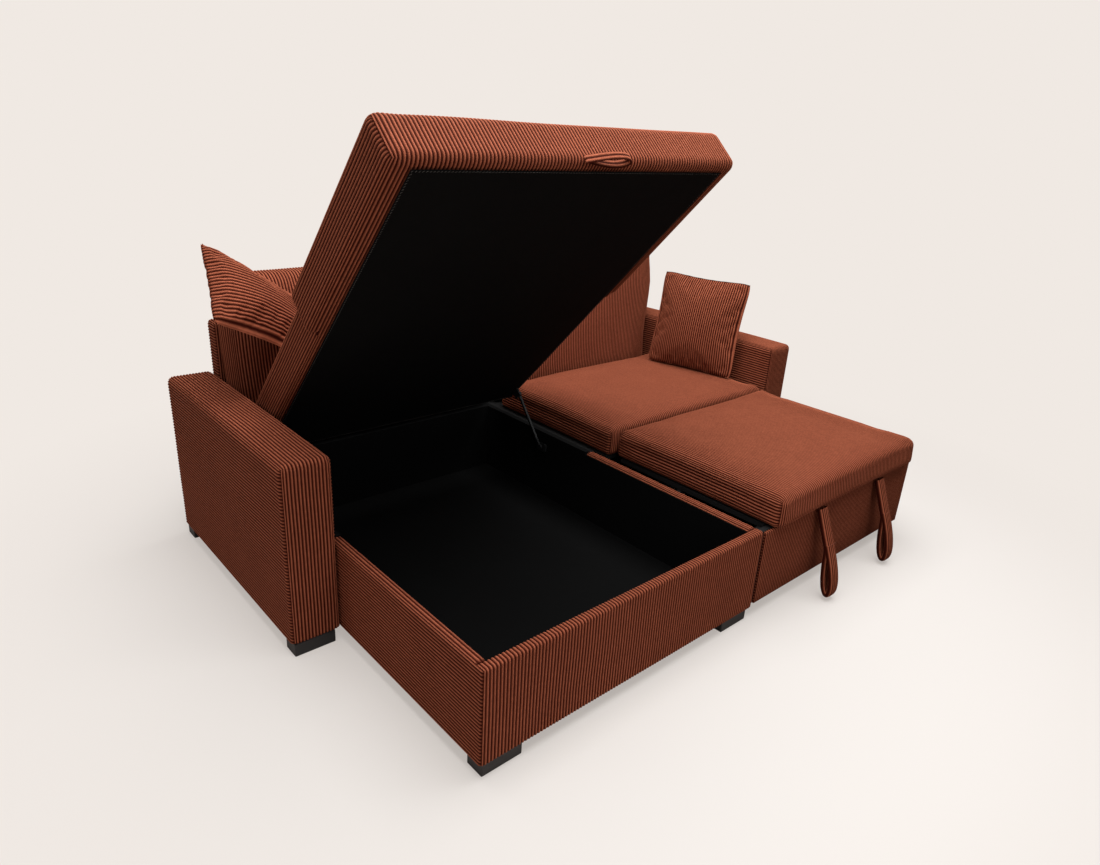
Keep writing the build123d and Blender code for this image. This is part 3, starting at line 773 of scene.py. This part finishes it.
def lid():
    """The T-shaped lid cushion, wide in front of the arm and narrower beside it."""
    front, step = -LID_LENGTH, -LID_LENGTH + LID_WIDE_LENGTH
    soft = ((LID_ROUND, LID_ROUND), (LID_ROUND, LID_ROUND), (LID_ROUND_UNDER, LID_ROUND))
    low, high = np.array([LID_WIDE[0], front, LID_UNDER]), np.array([LID_WIDE[1], step, LID_THICK])
    flat_rear = (soft[0], (LID_ROUND, 0.0), soft[2])
    over = [(step, LID_UNDER), (front, LID_UNDER), (front, LID_THICK), (step, LID_THICK)]
    wings = ((LID_WIDE[0], LID_NARROW[0]), (LID_NARROW[1], LID_WIDE[1]))
    grids = [panel(low, high, flat_rear, 0, over, limits=LID_NARROW, ends=(None, None))]
    grids += [panel(low, high, soft, 0, over, limits=wing) for wing in wings]
    for face, edge in zip(LID_WIDE, LID_NARROW):
        grids.append(panel(low, high, soft, 2, [(face, front), (face, step), (edge, step)]))
    low, high = np.array([LID_NARROW[0], step, LID_UNDER]), np.array([LID_NARROW[1], 0.0, LID_THICK])
    radii = (soft[0], (0.0, LID_ROUND), soft[2])
    over = [(step, LID_THICK), (0.0, LID_THICK), (0.0, LID_UNDER), (step, LID_UNDER)]
    grids.append(panel(low, high, radii, 0, over, ends=(None, None)))
    for face in LID_NARROW:
        grids.append(panel(low, high, radii, 2, [(face, step), (face, 0.0)]))
    upholstery("chaise_lid_cushion", grids, "lid", ["lid_pad", "lid_board"], LID_FRAME)


def lid_lining():
    """Black lining sewn under the lid with a margin of corduroy showing round it."""
    front, rear = -LID_LENGTH + LINING_FRONT, -LINING_MARGIN
    left, right = LID_NARROW[0] + LINING_MARGIN, LID_NARROW[1] - LINING_MARGIN
    across, along = np.linspace(left, right, LINING_GRID[0]), np.linspace(front, rear, LINING_GRID[1])
    x, y = np.meshgrid(across, along, indexing="ij")
    sag = LINING_SAG * np.sin(x * 31 + 2 * np.sin(y * 5)) * np.sin(y * 17 + 1.5 * np.sin(x * 7))
    grid = np.stack([x, y, sag + LINING_RISE], axis=-1)
    piece = mesh_object("lid_lining_sheet", [(grid[::-1], np.ones(x.shape))], LINING, LID_FRAME)
    fitted(piece, "lid", ["lid_lining"])
    near, far = front + LINING_STITCH_INSET, rear - LINING_STITCH_INSET
    first, last = left + LINING_STITCH_INSET, right - LINING_STITCH_INSET
    corners = [(first, near), (last, near), (last, far), (first, far)]
    line = [LID_FRAME @ Vector((*corner, LINING_STITCH_RISE)) for corner in corners]
    row = fitted(stitches("lid_lining_stitches", line, True, THREAD), "lid")


def stitches(name, points, closed, material):
    """A row of stitches along a line: Geometry Nodes set short thread lengths end to end on it."""
    line = bpy.data.curves.new(name, "CURVE")
    line.dimensions = "3D"
    spline = line.splines.new("POLY")
    spline.points.add(len(points) - 1)
    for spot, point in zip(spline.points, points):
        spot.co = (*point, 1.0)
    spline.use_cyclic_u = closed
    source = bpy.data.objects.new(name, line)
    bpy.context.scene.collection.objects.link(source)
    modifier = source.modifiers.new("stitches", "NODES")
    modifier.node_group = STITCH_TREE
    for socket in STITCH_TREE.interface.items_tree:
        if socket.name == "Thread":
            modifier[socket.identifier] = material
    bpy.context.view_layer.update()
    ready = source.evaluated_get(bpy.context.evaluated_depsgraph_get())
    mesh = bpy.data.meshes.new_from_object(ready)
    bpy.data.objects.remove(source)
    mesh.name = name
    piece = bpy.data.objects.new(name, mesh)
    bpy.context.scene.collection.objects.link(piece)
    return piece


def stitch_tree():
    """Short threads on a curve, with their length, pitch and thickness as inputs."""
    tree = bpy.data.node_groups.new("stitch_row", "GeometryNodeTree")
    tree.interface.new_socket("Line", in_out="INPUT", socket_type="NodeSocketGeometry")
    for name, value in (("Pitch", 0.009), ("Length", 0.0055), ("Radius", 0.0006)):
        tree.interface.new_socket(name, in_out="INPUT", socket_type="NodeSocketFloat").default_value = value
    tree.interface.new_socket("Thread", in_out="INPUT", socket_type="NodeSocketMaterial")
    tree.interface.new_socket("Stitches", in_out="OUTPUT", socket_type="NodeSocketGeometry")
    nodes, link = tree.nodes, tree.links.new
    given, result = nodes.new("NodeGroupInput"), nodes.new("NodeGroupOutput")
    spots = nodes.new("GeometryNodeCurveToPoints")
    spots.mode = "LENGTH"
    thread = nodes.new("GeometryNodeMeshCylinder")
    thread.inputs["Vertices"].default_value = 6
    placed = nodes.new("GeometryNodeInstanceOnPoints")
    real = nodes.new("GeometryNodeRealizeInstances")
    coloured = nodes.new("GeometryNodeSetMaterial")
    link(given.outputs["Line"], spots.inputs["Curve"])
    link(given.outputs["Pitch"], spots.inputs["Length"])
    link(given.outputs["Radius"], thread.inputs["Radius"])
    link(given.outputs["Length"], thread.inputs["Depth"])
    turned = nodes.new("FunctionNodeAlignRotationToVector")
    turned.axis = "Z"
    link(spots.outputs["Tangent"], turned.inputs["Vector"])
    link(spots.outputs["Points"], placed.inputs["Points"])
    link(thread.outputs["Mesh"], placed.inputs["Instance"])
    link(turned.outputs["Rotation"], placed.inputs["Rotation"])
    link(placed.outputs["Instances"], real.inputs["Geometry"])
    link(real.outputs["Geometry"], coloured.inputs["Geometry"])
    link(given.outputs["Thread"], coloured.inputs["Material"])
    link(coloured.outputs["Geometry"], result.inputs["Stitches"])
    return tree


def seat_and_mattress():
    for node, body, name, crown, (right, front, rear), roundness in PADS:
        low, high = box_corners(node)
        high += (right, rear, -PAD_TOP_DROP)
        low[1] += front
        radii = (PAD_ROUND_X, roundness, PAD_ROUND_Z)
        shape = swelling(low, high, crown, PAD_PINCH)
        swell = box_swell(low, high, radii, shape, PAD_PRESSURE, PAD_SWELL_CAP)
        upholstery(name, box_panels(low, high, radii, shape, swell, WEAR), body, [node])


def back_cushions():
    """Box cushions drawn lying down, then leant on the back."""
    for side in ("left", "right"):
        low, high = box_corners(f"back_cushion_{side}")
        width = high[0] - low[0]
        height = (high[2] - low[2]) / math.cos(CUSHION_LEAN) - CUSHION_TOP_DROP
        thick = (high[1] - low[1] - height * math.sin(CUSHION_LEAN)) / math.cos(CUSHION_LEAN)
        flat_low = np.array([-width / 2, 0.0, 0.0])
        flat_high = np.array([width / 2, height, thick - CUSHION_FACE_DROP])
        spread = CUSHION_SPREAD if side == "right" else 0.0
        shape = swelling(flat_low, flat_high, CUSHION_FULL, -CUSHION_BELLY, spread)
        swell = box_swell(flat_low, flat_high, CUSHION_RADII, shape, CUSHION_PRESSURE, CUSHION_SWELL_CAP)
        heel = (high[1] - height * math.sin(CUSHION_LEAN), low[2])
        out = (0, -math.cos(CUSHION_LEAN), math.sin(CUSHION_LEAN))
        place = frame_of(((low[0] + high[0]) / 2, *heel), (1, 0, 0), out)
        grids = box_panels(flat_low, flat_high, CUSHION_RADII, shape, swell)
        upholstery(f"back_pad_{side}", grids, "root", [f"back_cushion_{side}"], place)


def pillow_faces(size, half):
    """Both faces of a knife-edge pillow as coarse grids. Its seams are held a little drawn in between
    the corners, and its cloth is blown up and grows between them, so that it gathers."""
    count = [round(side / PILLOW_STEP) for side in size]
    s, t = np.meshgrid(np.linspace(-1, 1, count[0] + 1), np.linspace(-1, 1, count[1] + 1), indexing="ij")
    puff = (np.clip(1 - s ** 2, 0, 1) * np.clip(1 - t ** 2, 0, 1)) ** PILLOW_PUFF
    x = s * size[0] / 2 * (1 - PILLOW_DRAW_IN * (1 - t ** 2) - PILLOW_CORNER * t ** 8)
    y = t * size[1] / 2 * (1 - PILLOW_DRAW_IN * (1 - s ** 2) - PILLOW_CORNER * s ** 8)
    faces = [np.stack([x, y, face * half * puff], axis=-1) for face in (1, -1)]
    upper = np.arange(s.size).reshape(s.shape)
    lower = upper.copy()
    inner = (slice(1, -1), slice(1, -1))
    lower[inner] = s.size + np.arange(lower[inner].size).reshape(lower[inner].shape)
    quads = []
    for index in (upper, lower[::-1]):
        quad = np.stack([index[:-1, :-1], index[1:, :-1], index[1:, 1:], index[:-1, 1:]], axis=-1)
        quads += quad.reshape(-1, 4).tolist()
    points = np.concatenate([faces[0].reshape(-1, 3), faces[1][inner].reshape(-1, 3)])
    points = points * (1, 1, PILLOW_SLACK)
    seam = np.concatenate([upper[0], upper[-1], upper[:, 0], upper[:, -1]])
    moved = simulated(points, quads, seam, PILLOW_PRESSURE, PILLOW_BEND, PILLOW_GROWTH)
    moved[:, 2] *= half / np.abs(moved[:, 2]).max()
    return [moved[upper], moved[lower]]


def dragged(points, size, reach):
    """A pillow's corner, at its low end in x and its high end in y, drawn aside by its own weight."""
    share = np.clip(0.5 - points[..., :1] / size[0], 0, 1) * np.clip(0.5 + points[..., 1:2] / size[1], 0, 1)
    return points + share ** 1.5 * np.array(reach)


def pillow(name, node, size, half, place, drag=(0, 0, 0), fuller=1.0):
    """A knife-edge pillow: two ribbed faces meet in a seam and its corners stand out."""
    grids = []
    stations, height = rib_stations(0.0, size[0])
    height[[0, 1, -2, -1]] = PILLOW_SEAM_RIB
    along = np.linspace(0, 1, PILLOW_POINTS)
    along = along - PILLOW_CROWDING * np.sin(2 * np.pi * along) / (2 * np.pi)
    for face, coarse in zip((1, -1), pillow_faces(size, half)):
        row_places = stations / size[0] * (coarse.shape[0] - 1)
        rows, columns = np.meshgrid(row_places, along * (coarse.shape[1] - 1), indexing="ij")
        outward = np.zeros((*rows.shape, 3))
        outward[..., 2] = face
        ribs = np.repeat(height[:, None], len(along), axis=1)
        if face > 0:
            coarse = coarse * (1, 1, fuller)
        coarse = dragged(coarse, size, drag)
        grids.append(sewn(cubic(coarse, rows, columns), ribs, outward, tuck=False))
    upholstery(name, grids, "root", [node], place)


def pillows():
    """The square pillow on the seat, and the long one on the left back cushion, its ribs across it."""
    place = frame_of(RIGHT_PILLOW, RIGHT_PILLOW_ALONG, RIGHT_PILLOW_OUT)
    square = (PILLOW_SIDE, PILLOW_SIDE)
    pillow("pillow_right", "throw_pillow_right", square, PILLOW_HALF, place)
    place = frame_of(LEFT_PILLOW, LEFT_PILLOW_ALONG, LEFT_PILLOW_OUT)
    place = place @ Matrix.Rotation(math.radians(90), 4, "Z")
    pillow(
        "pillow_left", "throw_pillow_left", LONG_PILLOW[::-1], LONG_PILLOW_HALF, place,
        LEFT_PILLOW_DRAG, LEFT_PILLOW_FULLER,
    )


def bed_front():
    low, high = box_corners("bed_front_cover")
    grids = box_panels(low, high, BED_FRONT_RADII)
    upholstery("bed_front_upholstery", grids, "root", ["bed_front_cover"])


def band(path, across, width, thick, closed):
    """A flat strap with ribs along it: a thick rounded section swept along a path."""
    path, across = np.array(path, float), np.array(across, float)
    tangent = np.roll(path, -1, axis=0) - np.roll(path, 1, axis=0) if closed else np.gradient(path, axis=0)
    tangent /= np.linalg.norm(tangent, axis=1, keepdims=True)
    out = np.cross(tangent, across)
    stations, height = rib_stations(-width / 2, width / 2)
    edge = np.sqrt(np.clip(1 - np.abs(2 * stations / width) ** 5, 0, 1))
    lift = thick / 2 * edge - 0.5 * RIB_HEIGHT * (1 - height) * edge
    reach = np.concatenate([stations, stations[::-1][1:]])
    lift = np.concatenate([lift, -lift[::-1][1:]])
    rib = np.concatenate([height, height[::-1][1:]])
    grid = path[None] + reach[:, None, None] * across + lift[:, None, None] * out[None]
    if closed:
        grid = np.concatenate([grid, grid[:, :1]], axis=1)
    grid = grid[::-1]
    return grid, np.repeat(rib[::-1, None], grid.shape[1], axis=1)


def teardrop(count, length, bulge):
    """A closed loop of strap: sewn tip at the start, round at the far end."""
    turn = np.linspace(0, 2 * np.pi, count, endpoint=False)
    return length * (1 - np.cos(turn)) / 2, bulge * np.sin(turn) * np.sin(turn / 2) ** 1.3


def bed_straps():
    """Two pull straps: a stem from under the mattress and a sewn loop at its end."""
    top, tip, bottom = np.array(STRAP_TOP), np.array(STRAP_TIP), np.array(STRAP_LOW)
    length = np.linalg.norm(bottom - tip)
    axis = (bottom - tip) / length
    ahead = np.array([axis[1], -axis[0]])
    down, out = teardrop(LOOP_POINTS, length, STRAP_BULGE)
    out = out + STRAP_FORWARD * down / length * (2 - down / length)
    ring = tip + down[:, None] * axis + out[:, None] * ahead
    fall = np.linspace(0, 1, STEM_POINTS)[:, None]
    stem_line = top + (tip + STEM_LAP * axis - top) * fall
    reach = STRAP_WIDTH / 2 - STRAP_STITCH_INSET
    front = STRAP_TIP[0] - STRAP_STITCH_PROUD
    for side in ("left", "right"):
        low, high = box_corners(f"bed_strap_{side}")
        middle = (low[0] + high[0]) / 2
        loop = np.column_stack([np.full(len(ring), middle), ring])
        stem = np.column_stack([np.full(len(stem_line), middle), stem_line])
        grids = [
            band(loop, (1, 0, 0), STRAP_WIDTH, STRAP_THICK, True),
            band(stem, (1, 0, 0), STRAP_WIDTH, STEM_THICK, False),
        ]
        name = f"pull_strap_{side}"
        fitted(mesh_object(name, grids, RUST), "bed_top", [f"bed_strap_{side}"])
        height = STRAP_TIP[1] + STRAP_STITCH_RISE
        line = [Vector((middle + place, front, height)) for place in (-reach, reach)]
        fitted(stitches(f"{name}_stitches", line, False, DARK_THREAD), "bed_top")


def lid_strap():
    """A small loop to lift the lid by, sewn flat to its front edge."""
    start, end = LID_STRAP_ENDS
    right, out = teardrop(LOOP_POINTS, end - start, LID_STRAP_BULGE)
    rise = np.full(LOOP_POINTS, LID_STRAP_RISE)
    loop = np.stack([start + right, LID_STRAP_LINE - out, rise], axis=-1)
    grids = [band(loop, (0, 0, 1), LID_STRAP_WIDTH, LID_STRAP_THICK, True)]
    fitted(mesh_object("lid_pull_strap", grids, RUST, LID_FRAME), "lid", ["lid_strap"])


def feet():
    """Block feet with eased edges."""
    for node in ("arm_feet", "chaise_feet"):
        spots = np.array([v.co for v in frame["nodes"][node].data.vertices])
        low, high = spots.min(axis=0), spots.max(axis=0)
        middle = (low + high) / 2
        blocks = []
        for x in (-1, 1):
            for y in (-1, 1):
                own = spots[((spots[:, 0] - middle[0]) * x > 0) & ((spots[:, 1] - middle[1]) * y > 0)]
                blocks.append((own.min(axis=0), own.max(axis=0)))
        boards(f"{node}_blocks", blocks, FOOT_EDGE, MOULDED, "root", [node])


def hardware():
    """Finishes of the CAD nodes that stay in view."""
    finishes = {
        "steel": STEEL, "bright_steel": PLATED, "board": BOARD, "foot": MOULDED, "roller": RUBBER,
        "lining": LINING, "webbing": RUST, "corduroy": RUST,
    }
    slots = {part["node"]: part["material_slot"] for part in frame["record"]["subparts"]}
    lined = ("storage_floor", "chaise_rear_wall", "back_ledge")
    for node, piece in frame["nodes"].items():
        finish = LINING if node in lined else finishes[slots[node]]
        piece.data.materials.clear()
        piece.data.materials.append(finish)


def floor():
    """Pale paper floor: the camera sees most of its own colour, with the object's soft shadow on it."""
    corners = [(x * FLOOR_REACH, y * FLOOR_REACH, 0) for x, y in ((-1, -1), (1, -1), (1, 1), (-1, 1))]
    mesh = bpy.data.meshes.new("floor")
    mesh.from_pydata(corners, [], [(0, 1, 2, 3)])
    piece = bpy.data.objects.new("floor", mesh)
    bpy.context.scene.collection.objects.link(piece)
    finish = Finish("floor_paper")
    place = finish.node("ShaderNodeTexCoord", output=3)
    away = finish.node("ShaderNodeVectorMath", {"operation": "LENGTH"}, {0: place}, 1)
    limits = {"Value": away, "From Min": FLOOR_FADE[0], "From Max": FLOOR_FADE[1]}
    far = finish.node("ShaderNodeMapRange", {"interpolation_type": "SMOOTHSTEP"}, limits)
    camera_ray = finish.node("ShaderNodeLightPath")
    seen = camera_ray * (FLOOR_GLOW_SHARE + far * (1 - FLOOR_GLOW_SHARE))
    sideways = finish.node("ShaderNodeSeparateXYZ", None, {0: place})
    limits = {"Value": sideways, "From Min": FLOOR_SHADE_SPAN[0], "From Max": FLOOR_SHADE_SPAN[1]}
    shaded = finish.node("ShaderNodeMapRange", None, limits)
    bounce = finish.mix(shaded, rgb(*FLOOR_BOUNCE), rgb(*FLOOR_SHADED))
    paper = finish.mix(camera_ray, bounce, rgb(*FLOOR_LIT))
    lit = finish.node("ShaderNodeBsdfDiffuse", None, {"Color": paper})
    glow = finish.node("ShaderNodeEmission", None, {"Color": finish.mix(far, rgb(*FLOOR_GLOW), PAPER)})
    mixed = finish.node("ShaderNodeMixShader", None, {0: seen, 1: lit, 2: glow})
    finish.node("ShaderNodeOutputMaterial", None, {"Surface": mixed})
    mesh.materials.append(finish.material)


def surroundings():
    """Soft light from all round, and paper behind the object for the camera."""
    world = bpy.data.worlds.new("studio")
    world.use_nodes = True
    nodes, link = world.node_tree.nodes, world.node_tree.links.new
    soft = nodes["Background"]
    soft.inputs["Color"].default_value = rgb(*AMBIENT_TINT)
    soft.inputs["Strength"].default_value = AMBIENT
    paper = nodes.new("ShaderNodeBackground")
    paper.inputs["Color"].default_value = PAPER
    rays, seen, mixed = (nodes.new(f"ShaderNode{kind}") for kind in ("LightPath", "Math", "MixShader"))
    seen.operation = "MAXIMUM"
    link(rays.outputs["Is Camera Ray"], seen.inputs[0])
    link(rays.outputs["Is Transmission Ray"], seen.inputs[1])
    link(seen.outputs[0], mixed.inputs[0])
    link(soft.outputs[0], mixed.inputs[1])
    link(paper.outputs[0], mixed.inputs[2])
    link(mixed.outputs[0], nodes["World Output"].inputs["Surface"])
    bpy.context.scene.world = world


def lamps():
    for name, place, target, size, power in LAMPS:
        lamp = bpy.data.lights.new(name, "AREA")
        lamp.size = size
        lamp.energy = power
        stand = bpy.data.objects.new(name, lamp)
        stand.location = place
        aim = Vector(target) - Vector(place)
        stand.rotation_euler = aim.to_track_quat("-Z", "Y").to_euler()
        bpy.context.scene.collection.objects.link(stand)


def camera():
    """The photograph's viewpoint, a little rolled."""
    data = bpy.data.cameras.new("camera")
    data.lens = CAMERA_LENS
    data.sensor_width = SENSOR
    data.sensor_fit = "HORIZONTAL"
    level = math.cos(CAMERA_DOWN)
    east, north = math.sin(CAMERA_HEADING) * level, math.cos(CAMERA_HEADING) * level
    ahead = Vector((east, north, -math.sin(CAMERA_DOWN)))
    right = ahead.cross(Vector((0, 0, 1))).normalized()
    up = right.cross(ahead)
    rolled = math.cos(CAMERA_ROLL) * right + math.sin(CAMERA_ROLL) * up
    upright = -math.sin(CAMERA_ROLL) * right + math.cos(CAMERA_ROLL) * up
    viewer = bpy.data.objects.new("camera", data)
    turn = Matrix((rolled, upright, -ahead)).transposed().to_4x4()
    viewer.matrix_world = Matrix.Translation(CAMERA_PLACE) @ turn
    bpy.context.scene.collection.objects.link(viewer)
    bpy.context.scene.camera = viewer


STITCH_TREE = stitch_tree()
hardware()
arms()
back()
chaise_rails()
lid()
lid_lining()
seat_and_mattress()
back_cushions()
pillows()
bed_front()
bed_straps()
lid_strap()
feet()
floor()
surroundings()
lamps()
camera()
bpy.context.scene.view_settings.view_transform = "Standard"
